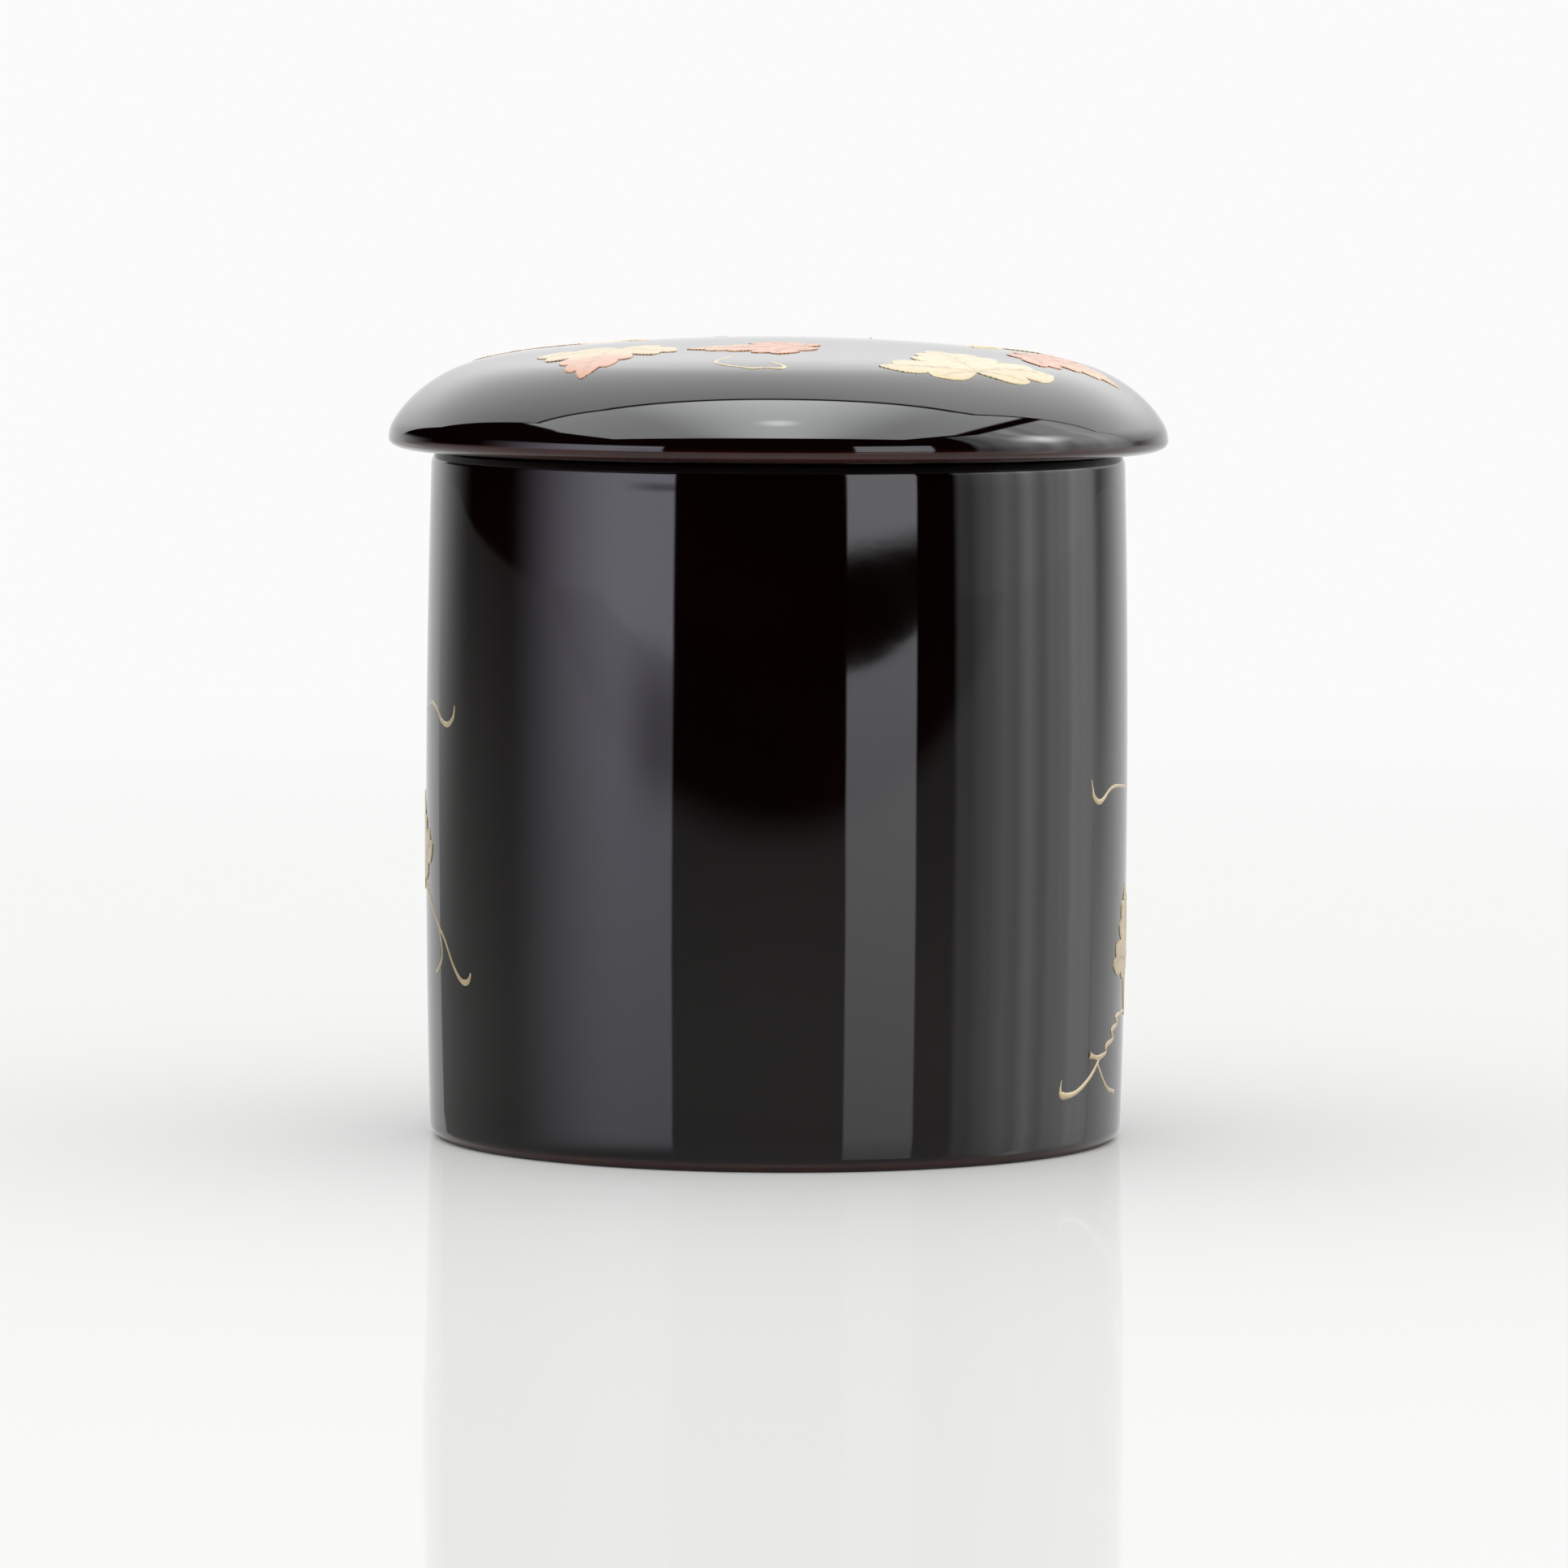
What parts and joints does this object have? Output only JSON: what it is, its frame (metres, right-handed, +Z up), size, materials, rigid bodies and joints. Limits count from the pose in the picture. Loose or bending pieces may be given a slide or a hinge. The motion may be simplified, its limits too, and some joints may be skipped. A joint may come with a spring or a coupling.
{
  "type": "lidded rice bowl",
  "caption": "Tall straight-sided lacquered wooden bowl with a domed lift-off lid, raised gold vine leaves and tendrils.",
  "frame": {"origin": "on the bowl's axis, in the plane that the foot ring stands on", "axes": "+Z up along the axis, -Y towards the front, +X to the right"},
  "size_m": [0.0886, 0.0886, 0.0911],
  "materials": {
    "lacquer": "near-black maroon lacquer, polished to a mirror",
    "gold": "fine gold powder over raised lacquer, satin",
    "red_gold": "red-gold powder over raised lacquer, satin"
  },
  "bodies": {
    "bowl": {"bowl_body": "lacquer", "body_leaf_back": "gold", "body_leaf_back_left": "gold", "body_leaf_back_low": "red_gold", "body_leaf_back_right": "red_gold", "body_leaf_left": "gold", "body_leaf_right": "gold", "body_tendrils": "gold"},
    "lid": {"lid": "lacquer", "lid_leaf_back": "red_gold", "lid_leaf_back_left": "gold", "lid_leaf_back_right": "gold", "lid_leaf_front_left": "gold", "lid_leaf_front_middle": "red_gold", "lid_leaf_front_right": "gold", "lid_leaf_left": "gold", "lid_leaf_right": "red_gold", "lid_tendrils": "gold"}
  },
  "joints": [
    {"name": "lid_lift", "type": "slide", "parent": "bowl", "child": "lid", "axis": [0, 0, 1], "range_m": [0, 0.1]}
  ]
}
